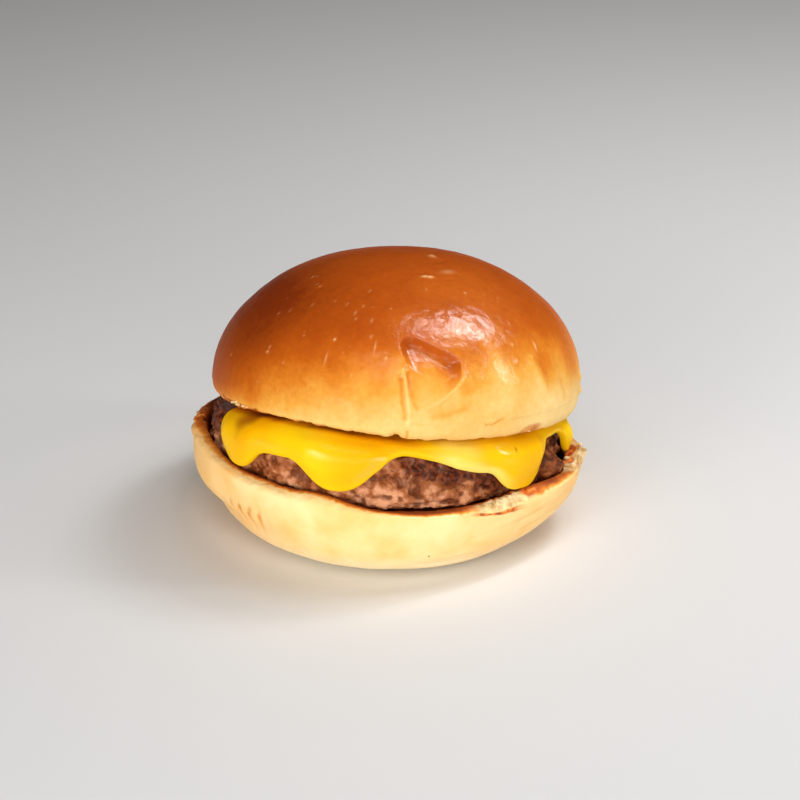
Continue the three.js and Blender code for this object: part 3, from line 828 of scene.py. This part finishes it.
def press_up(point):
    lowest = cheese_top(point[..., 0], point[..., 1]) + GAP + 0.2
    return np.stack([point[..., 0], point[..., 1], np.maximum(point[..., 2], lowest)], -1)


def on_dome(phi, elevation, at):
    """Millimetres across and up from a place on the dome, given by azimuth and elevation in degrees."""
    across = degrees_from(phi, at[0]) * DEG * TOP_RADIUS * np.cos(elevation)
    up = (elevation - at[1] * DEG) * TOP_RADIUS * 0.85
    return across, up


def noise_place(phi, elevation):
    """Where on the dome the seeded noise is read."""
    return place(TOP_RADIUS * np.cos(elevation), 40 * elevation, phi)


def soft_least(a, b, sharpness):
    return -np.log(np.exp(-sharpness * a) + np.exp(-sharpness * b)) / sharpness


DIRECTIONS = np.arange(360)


def dent_reach(direction):
    """Reach of the dent's outline from its middle, with its corners rounded."""
    named = np.array(DENT_OUTLINE)
    reach = np.interp(DIRECTIONS, named[:, 0], named[:, 1], period=360)
    turns = range(-DENT_CORNER, DENT_CORNER + 1)
    reach = sum(np.roll(reach, turn) for turn in turns) / len(turns)
    return np.interp(direction, DIRECTIONS, reach, period=360)


def dent(phi, elevation):
    """Depth of the dent, and shares of its wall's painted shade and of the painted light on the rim
    round its right side.
    """
    across, up = on_dome(phi, elevation, DENT_AT)
    direction = np.arctan2(up, across)
    at = noise_place(phi, elevation)
    inside = dent_reach(direction / DEG) - np.hypot(across, up) + 0.3 * soft_noise(at, 2.2, 59)
    steep = DENT_STEEPNESS + bulges(DENT_STEEPER, direction)
    floor = DENT_DEPTH * np.clip(0.26 + 0.74 * (0.4 * across + 0.916 * up + 4) / 11, 0.17, 1)
    depth = soft_least(steep * inside, floor, 2.9)
    depth = np.where(depth > 0, depth, 0.15 * np.expm1(np.clip(depth, -9, 0) * 4))
    right = near(direction, *DENT_RIM)
    wall_shade = smooth(-0.55, 0.55, inside) * smooth(3.3, 1.3, inside) * bulges(DENT_WALL_SHADE, direction)
    return depth - 0.3 * hill(inside, -0.5, 0.7) * right, wall_shade, hill(inside, -0.7, 0.6) * right


def line_near(phi, elevation, places, width):
    """1 on a line across the dome, falling to 0 about a width away. The line wavers a little."""
    at = noise_place(phi, elevation)
    phi = phi + 0.008 * soft_noise(at, 3.5, 47)
    elevation = elevation + 0.01 * soft_noise(at, 4.5, 48)
    width = width * (1 + 0.5 * soft_noise(at, 4, 49))
    least = np.inf
    for start, end in zip(places, places[1:]):
        across, up = on_dome(phi, elevation, start)
        end_across, end_up = on_dome(end[0] * DEG, end[1] * DEG, start)
        share = (across * end_across + up * end_up) / (end_across**2 + end_up**2)
        share = np.clip(share, 0, 1)
        least = np.minimum(least, np.hypot(across - share * end_across, up - share * end_up))
    return np.exp(-((least / width) ** 2))


def ragged_edge(phi):
    """How far the cut edge hangs below its even line, and how far torn bits of the underside show."""
    at = place(CUT_RADIUS, 0, phi)
    broad = soft_noise(at, 7, 51)
    fine = rough_noise(at, 2.4, 52)
    hang = (0.35 * broad + 0.45 * fine) * (0.35 + near(phi, *HANGS_MOST))
    return hang, smooth(0.15, 0.7, fine + 0.3 * broad)


def top_grid(columns=620, cut_rows=10, tuck_rows=26, dome_rows=176):
    """Part is 0 to 1 over the cut face, 1 to 2 round the edge and 2 to 3 up the dome."""
    phi = azimuths(columns, 8, 0.4)
    drop = cut_drop(phi) + ragged_edge(phi)[0]
    rings = []

    def add(part, elevation, point):
        rings.append((point, part, elevation))

    for k in range(cut_rows + 1):
        r = top_radius(phi) * CUT_RADIUS / TOP_RADIUS * (k / cut_rows) ** 0.6
        add(k / cut_rows, CUT_ELEVATION, press_up(lean(r, -drop, phi)))
    for k in range(1, tuck_rows + 1):
        down = 1 - k / tuck_rows
        inwards = TUCK_ROUND * down**2 + (TOP_RADIUS - CUT_RADIUS - TUCK_ROUND) * down**5
        point = press_up(lean(top_radius(phi) - inwards, -drop * down, phi))
        add(1 + k / tuck_rows, CUT_ELEVATION * down, point)
    for k in range(1, dome_rows + 1):
        elevation = QUARTER * k / dome_rows
        depth, _, _ = dent(phi, elevation)
        r = (top_radius(phi) - depth) * math.cos(elevation)
        add(2 + k / dome_rows, elevation, lean(r, (TOP_HEIGHT - depth) * math.sin(elevation), phi))
    rows, part, elevation = zip(*rings)
    return np.stack(rows), np.array(part)[:, None], np.array(elevation)[:, None], phi[None]


def spot_near(phi, elevation, at, reach):
    across, up = on_dome(phi, elevation, at)
    return np.exp(-((across / reach[0]) ** 2) - (up / reach[1]) ** 2)


def spots(items, phi, elevation):
    return sum(share * spot_near(phi, elevation, at, reach) for at, reach, share in items)


def bake_of(phi, elevation, grid):
    """How browned the skin is, from 0 for cream to 1 for dark brown."""
    rise = elevation / DEG
    tall = grid * np.array([1, 1, 0.35])
    cloud = layered(grid, (3.4, 11, 45)) + layered(tall, (1.8, 2.6, 46), (2.2, 5, 53))
    height = np.clip(rise + bulges(BAKE_LIFTS, phi) + cloud, 0, None)
    bake = BAKE_LEAST + BAKE_RANGE * (1 - np.exp(-((height / BAKE_HEIGHT) ** BAKE_CURVE)))
    bake = bake + 0.16 * near(phi, *BAKED_LEFT) * smooth(-4, 6, rise) * smooth(66, 40, rise)
    bake = bake - 0.08 * near(phi, *PALE_RIGHT) * smooth(16, 4, rise)
    at = noise_place(phi, elevation)
    bent = phi + 0.03 * soft_noise(at, 6, 54)
    bent_up = elevation + 0.03 * soft_noise(at, 6, 55)
    return bake + spots(BROWNED, bent, bent_up)


def add_marks(phi, rise):
    """Relief and paleness of the small blisters, flakes and scratches in the glaze; the paleness of the
    thin dashes and specks is partly painted glints.
    """
    relief = np.zeros(np.broadcast_shapes(phi.shape, rise.shape))
    flakes_and_glints = relief.copy()
    for at, reach, height, paleness in MARKS:
        spot = spot_near(phi, rise, at, reach)
        relief += height * spot
        flakes_and_glints = np.maximum(flakes_and_glints, paleness * spot)
    draw = np.random.default_rng(5)
    for count, first, last in SPECKS:
        for _ in range(count):
            at = (draw.uniform(first, last), draw.uniform(*SPECK_ELEVATIONS))
            across = draw.uniform(*SPECK_WIDTHS)
            reach = (across, across * draw.uniform(*SPECK_LENGTHS))
            spot = spot_near(phi, rise, at, reach)
            relief += SPECK_HEIGHT * spot
            flakes_and_glints = np.maximum(flakes_and_glints, spot * draw.uniform(*SPECK_PALENESS))
    return relief, flakes_and_glints


def make_top_bun(material, loose):
    grid, part, rise, phi = top_grid()
    skin = smooth(1.3, 1.8, part)
    outside = smooth(2.995, 2.93, part) * smooth(1.0, 1.3, part)
    relief, flakes_and_glints = add_marks(phi, rise)
    shade = 0 * relief
    for items in (SWELLINGS, CREASES):
        for places, width, height in items:
            line = height * line_near(phi, rise, places, width)
            relief += line
            shade -= line
    swell = layered(grid, (0.4, 24, 41), (0.14, 9, 42))
    streaks = layered(grid * np.array([1, 1, 0.3]), (0.05, 1.8, 43))
    _, wall_shade, rim_light = dent(phi, rise)
    glaze = spots(GLAZED, phi, rise) * (1 - 0.92 * wall_shade)
    glaze = glaze * (1 - 0.45 * spot_near(phi, rise, *GLAZE_DULLED))
    wrinkles = layered(grid, (0.07, 1.5, 57), (0.08, 3, 58))
    out = (swell + streaks + relief + wrinkles * glaze) * outside
    _, torn = ragged_edge(phi)
    out = out + 0.3 * rough_noise(grid, 1.9, 44) * smooth(1.15, 0.95, part)
    # Painted shade darkens the creases and the dent's wall; painted light makes the swellings and the
    # dent's right rim paler.
    bake = bake_of(phi, rise, grid) + 0.35 * np.clip(shade, -0.4, 0.4) + 0.15 * wall_shade - 0.1 * rim_light
    grid = push(grid, out)
    reach = FRAY_REACH + bulges(FRAY_REACHES, phi)
    cut = smooth(reach, reach - 0.22, part - 0.25 * torn) * np.clip(bulges(FRAYED, phi), 0, 1)
    cut = np.maximum(cut, smooth(1.0, 0.9, part))
    masks = {"bake": bake, "cut": cut, "flakes_and_glints": flakes_and_glints * skin, "glaze": np.clip(glaze, 0, 1) * skin}
    dress("top_bun", "top_bun_bread", grid, masks, material)
    make_crumbs("top_bun_crumbs", UPPER_CRUMBS, grid, part, phi, loose)


# ---- materials


MIX_INPUTS = (0, 6, 7)  # the share and both colours among a mix node's sockets
MIX_OUTPUT = 2


class Nodes:
    """Short ways to add and link shader nodes in one material."""

    def __init__(self, name):
        self.material = bpy.data.materials.new(name)
        self.material.use_nodes = True
        self.tree = self.material.node_tree
        self.shader = self.tree.nodes["Principled BSDF"]
        self.place = self.add("ShaderNodeTexCoord").outputs["Object"]

    def add(self, kind, inputs=None, **settings):
        node = self.tree.nodes.new(kind)
        for key, value in settings.items():
            setattr(node, key, value)
        for key, value in (inputs or {}).items():
            self.link(value, node.inputs[key])
        return node

    def link(self, value, socket):
        if isinstance(value, bpy.types.NodeSocket):
            self.tree.links.new(value, socket)
        else:
            socket.default_value = value

    def set(self, **values):
        for key, value in values.items():
            self.link(value, self.shader.inputs[key.replace("_", " ")])

    def mask(self, name):
        return self.add("ShaderNodeAttribute", attribute_name=name).outputs["Fac"]

    def texture(self, kind, output, size_mm, **more):
        inputs = {"Vector": self.place, "Scale": 1 / (size_mm * MM), **more}
        return self.add(kind, inputs).outputs[output]

    def noise(self, size_mm, detail=3.0, roughness=0.5):
        """Noise from 0 to 1 with lumps of a size in millimetres."""
        return self.texture("ShaderNodeTexNoise", "Fac", size_mm, Detail=detail, Roughness=roughness)

    def cells(self, size_mm):
        """Distance to the nearest of cell centres that lie a size in millimetres apart."""
        return self.texture("ShaderNodeTexVoronoi", "Distance", size_mm)

    def math(self, operation, a, b=0.0, c=0.0, clamp=False):
        inputs = {0: a, 1: b, 2: c}
        return self.add("ShaderNodeMath", inputs, operation=operation, use_clamp=clamp).outputs[0]

    def between(self, value, low, high, to_low=0.0, to_high=1.0):
        inputs = {"Value": value, "From Min": low, "From Max": high, "To Min": to_low, "To Max": to_high}
        return self.add("ShaderNodeMapRange", inputs, interpolation_type="SMOOTHSTEP").outputs["Result"]

    def ramp(self, value, stops):
        node = self.add("ShaderNodeValToRGB", {"Fac": value})
        while len(node.color_ramp.elements) < len(stops):
            node.color_ramp.elements.new(0.5)
        for element, (position, colour) in zip(node.color_ramp.elements, stops):
            element.position = position
            element.color = (*colour, 1)
        return node.outputs["Color"]

    def blend(self, share, a, b):
        """Colour a where the share is 0, and colour b where it is 1."""
        node = self.add("ShaderNodeMix", data_type="RGBA")
        for value, index in zip((share, a, b), MIX_INPUTS):
            self.link((*value, 1) if isinstance(value, tuple) else value, node.inputs[index])
        return node.outputs[MIX_OUTPUT]

    def bump(self, height, depth_mm):
        inputs = {"Strength": 1.0, "Distance": depth_mm * MM, "Height": height}
        return self.add("ShaderNodeBump", inputs).outputs["Normal"]


def top_bun_material():
    m = Nodes("glazed_bread")
    mottle = m.math("MULTIPLY_ADD", m.noise(7, 4), 0.14, -0.07)
    mottle = m.math("ADD", mottle, m.math("MULTIPLY_ADD", m.noise(1.5, 4, 0.6), 0.18, -0.09))
    bake = m.math("ADD", m.mask("bake"), mottle)
    skin = m.ramp(bake, (
        (0.0, (0.95, 0.66, 0.26)), (0.14, (0.86, 0.52, 0.15)), (0.3, (0.8, 0.36, 0.05)),
        (0.45, (0.69, 0.205, 0.016)), (0.6, (0.53, 0.11, 0.006)), (0.75, (0.42, 0.072, 0.004)),
        (0.9, (0.31, 0.049, 0.003)), (1.0, (0.22, 0.028, 0.002)),
    ))
    # Pale flakes, and partly painted glints on the dashes and specks.
    skin = m.blend(m.math("MULTIPLY", m.mask("flakes_and_glints"), 0.75), skin, (1.0, 0.62, 0.27))
    toasted = m.ramp(m.noise(2.2, 4), (
        (0.3, (0.26, 0.05, 0.006)), (0.5, (0.58, 0.14, 0.015)), (0.7, (0.85, 0.4, 0.1)),
    ))
    colour = m.blend(m.mask("cut"), skin, toasted)
    coat = m.between(m.mask("glaze"), 0.0, 0.7, 0.08, 1.0)
    coat = m.math("MULTIPLY", coat, m.between(m.noise(2.4, 4, 0.6), 0.4, 0.6, 0.45, 1.0))
    wrinkled = m.math("MULTIPLY", m.noise(0.9, 3, 0.7), m.between(m.mask("glaze"), 0.1, 0.7, 0.3, 0.9))
    normal = m.bump(m.math("ADD", wrinkled, m.noise(2.6, 2)), 0.13)
    m.set(Base_Color=colour, Roughness=0.5, Normal=normal, Coat_Normal=normal, Coat_Weight=coat)
    m.set(Subsurface_Weight=0.05, Subsurface_Scale=0.002, Specular_IOR_Level=0.05)
    m.set(Coat_Roughness=0.06, Coat_IOR=1.64, Subsurface_Radius=(1.0, 0.45, 0.18))
    return m.material


def crumb_colour(m):
    return m.ramp(m.noise(2.2, 4), (
        (0.28, (0.4, 0.22, 0.09)), (0.42, (0.72, 0.47, 0.19)), (0.55, (0.89, 0.66, 0.34)),
        (0.75, (0.97, 0.82, 0.54)),
    ))


def crumb_material():
    m = Nodes("torn_crumb")
    m.set(Base_Color=crumb_colour(m), Roughness=0.7, Normal=m.bump(m.noise(0.5, 4, 0.6), 0.1))
    m.set(Specular_IOR_Level=0.2)
    return m.material


def bottom_bun_material():
    m = Nodes("pale_bread")
    pale = m.ramp(m.noise(9, 5), (
        (0.3, (0.97, 0.6, 0.2)), (0.5, (1.0, 0.7, 0.29)), (0.7, (1.0, 0.78, 0.38)),
    ))
    pale = m.blend(m.between(m.mask("height"), 9.0, 1.0, 0.0, 0.7), pale, (1.0, 0.86, 0.6))
    pale = m.blend(m.math("MULTIPLY", m.mask("warm"), 0.6), pale, (1.0, 0.54, 0.19))
    # Painted shade in the pleats and wrinkles.
    pale = m.blend(m.between(m.mask("groove_shade"), 0.1, 0.9, 0.0, 0.9), pale, (0.7, 0.29, 0.05))
    edge = m.math("ADD", m.mask("toast"), m.math("MULTIPLY_ADD", m.noise(1.5, 4), 0.2, -0.1))
    skin = m.ramp(edge, (
        (0.06, (1.0, 0.6, 0.2)), (0.2, (0.88, 0.36, 0.055)), (0.36, (0.68, 0.18, 0.014)),
        (0.6, (0.33, 0.06, 0.006)), (0.95, (0.085, 0.018, 0.005)),
    ))
    skin = m.blend(m.between(edge, 0.02, 0.16), pale, skin)
    colour = m.blend(m.mask("crumb"), skin, crumb_colour(m))
    browned = m.ramp(m.noise(1.5, 3), (
        (0.35, (0.34, 0.05, 0.005)), (0.5, (0.62, 0.13, 0.01)), (0.65, (0.84, 0.3, 0.05)),
    ))
    colour = m.blend(m.mask("lumps"), colour, browned)
    colour = m.blend(m.between(m.cells(7.0), 0.05, 0.025), colour, (0.25, 0.1, 0.03))
    normal = m.bump(m.noise(0.7, 4, 0.6), 0.06)
    m.set(Base_Color=colour, Roughness=0.6, Normal=normal)
    m.set(Subsurface_Weight=0.12, Subsurface_Scale=0.003, Specular_IOR_Level=0.2)
    m.set(Subsurface_Radius=(1.0, 0.55, 0.25))
    return m.material


def patty_material():
    m = Nodes("seared_mince")
    tone_and_light = m.math("ADD", m.mask("tone_and_light"), m.math("MULTIPLY_ADD", m.noise(0.9, 4, 0.6), 0.7, -0.35))
    meat = m.ramp(tone_and_light, (
        (0.05, (0.1, 0.021, 0.003)), (0.3, (0.27, 0.067, 0.014)), (0.55, (0.47, 0.152, 0.05)),
        (0.85, (0.74, 0.335, 0.165)),
    ))
    # Painted shade darkens the meat in its pits.
    meat = m.blend(m.between(m.mask("pit_shade"), 0.1, 0.9, 0.0, 0.8), meat, (0.13, 0.026, 0.005))
    burnt = m.blend(m.between(m.noise(1.3, 4), 0.4, 0.65), (0.045, 0.007, 0.003), (0.23, 0.043, 0.008))
    colour = m.blend(m.between(m.mask("sear"), 0.2, 0.8, 0.0, 0.85), meat, burnt)
    height = m.math("ADD", m.noise(0.9, 5, 0.65), m.math("MULTIPLY", m.cells(0.8), -0.6))
    normal = m.bump(height, 0.26)
    shine = m.between(m.mask("sear"), 0.1, 0.7, 0.03, 0.15)
    shine = m.math("ADD", shine, m.between(m.noise(1.1, 3, 0.6), 0.56, 0.66, 0.0, 0.75), clamp=True)
    m.set(Base_Color=colour, Roughness=m.between(m.noise(2.5, 3), 0.35, 0.65, 0.5, 0.7), Normal=normal)
    m.set(Coat_Weight=shine, Coat_Roughness=0.07, Coat_Normal=normal)
    m.set(Subsurface_Weight=0.06, Subsurface_Scale=0.0015, Specular_IOR_Level=0.15)
    m.set(Subsurface_Radius=(1.0, 0.35, 0.25))
    return m.material


def cheese_material():
    m = Nodes("melted_cheese")
    body = m.blend(m.noise(14, 3), (0.93, 0.44, 0.001), (0.96, 0.49, 0.001))
    body = m.blend(m.mask("shaded"), body, (0.88, 0.36, 0.001))
    body = m.blend(m.mask("lit"), body, (0.96, 0.6, 0.004))
    colour = m.blend(m.math("MULTIPLY", m.mask("edge"), 0.4), body, (0.98, 0.58, 0.004))
    # Paler rim, and a painted sheen.
    colour = m.blend(m.math("MULTIPLY", m.mask("pale_rim_and_sheen"), 0.75), colour, (1.0, 0.75, 0.18))
    # Painted shadow of the bun's edge, and a dark dot.
    colour = m.blend(m.math("MULTIPLY", m.mask("bun_shadow_and_dot"), 0.8), colour, (0.33, 0.07, 0.002))
    normal = m.bump(m.noise(2.2, 3), 0.04)
    coat = m.between(m.mask("oily"), 0.0, 1.0, 0.1, 1.0)
    m.set(Base_Color=colour, Roughness=0.45, Normal=normal, Coat_Weight=coat, Coat_Roughness=0.14)
    m.set(Subsurface_Weight=0.2, Subsurface_Scale=0.003, Specular_IOR_Level=0.05)
    m.set(Subsurface_Radius=(1.0, 0.5, 0.02))
    return m.material


# ---- stage

CAMERA_TARGET = (1.6, 0.0, 29.4)
CAMERA_ELEVATION = 24.5
CAMERA_DISTANCE = 750.0
FRAME_WIDTH = 212.2  # seen across at the target
SENSOR = 36.0
FLOOR_HALF = 3000.0
FLOOR_COLOUR = (0.74, 0.73, 0.72, 1)
WORLD_LIGHT = 0.05
LIGHT_TARGET = (0, 0, 30)
LIGHTS = (  # name, azimuth, elevation, distance, width and height, brightness
    ("front_box", -8, 7, 900, (2100, 560), 1.47),
    ("small_box", -34, 16, 800, (300, 300), 0.22),
    ("upper_box", -10, 58, 700, (420, 300), 0.22),
    ("side_box", 107, 62, 600, (150, 460), 0.42),
    ("glint_box", 120, 56, 600, (70, 150), 0.24),
    ("side_strip", 83, 25, 600, (80, 260), 0.17),
)


def aim(thing, azimuth, elevation, distance, target):
    """Puts a camera or a light a distance away from a target, facing it."""
    level = math.cos(elevation * DEG)
    front, right = level * math.cos(azimuth * DEG), level * math.sin(azimuth * DEG)
    away = Vector((right, -front, math.sin(elevation * DEG)))
    thing.location = (away * distance + Vector(target)) * MM
    thing.rotation_euler = (-away).to_track_quat("-Z", "Y").to_euler()


def make_camera():
    data = bpy.data.cameras.new("camera")
    data.sensor_width = SENSOR
    data.lens = SENSOR * CAMERA_DISTANCE / FRAME_WIDTH
    data.clip_start = 0.01
    camera = add_object("camera", data)
    aim(camera, 0, CAMERA_ELEVATION, CAMERA_DISTANCE, CAMERA_TARGET)
    bpy.context.scene.camera = camera


def make_light(name, azimuth, elevation, distance, size, brightness):
    """A soft box, bright enough to light a white card at the burger to a share of white."""
    data = bpy.data.lights.new(name, "AREA")
    data.shape = "RECTANGLE"
    data.size = size[0] * MM
    data.size_y = size[1] * MM
    data.energy = brightness * (math.pi * distance * MM) ** 2
    aim(add_object(name, data), azimuth, elevation, distance, LIGHT_TARGET)


def make_floor():
    corners = FLOOR_HALF * np.array([(-1, -1, 0), (1, -1, 0), (1, 1, 0), (-1, 1, 0)])
    m = Nodes("pale_table")
    m.set(Base_Color=FLOOR_COLOUR, Roughness=0.7)
    quads, triangles = np.array([[0, 1, 2, 3]]), np.zeros((0, 3), int)
    floor = mesh_from("floor", corners, quads, triangles, {}, m.material)


def make_stage():
    make_camera()
    make_floor()
    world = bpy.data.worlds.new("world")
    bpy.context.scene.world = world
    world.use_nodes = True
    background = world.node_tree.nodes["Background"]
    background.inputs["Color"].default_value = (1, 1, 1, 1)
    background.inputs["Strength"].default_value = WORLD_LIGHT
    for light in LIGHTS:
        make_light(*light)
    bpy.context.scene.view_settings.view_transform = "Standard"


# ---- the burger

torn_crumb = crumb_material()
make_patty(patty_material())
make_cheese(cheese_material())
make_bottom_bun(bottom_bun_material(), torn_crumb)
make_top_bun(top_bun_material(), torn_crumb)
make_stage()
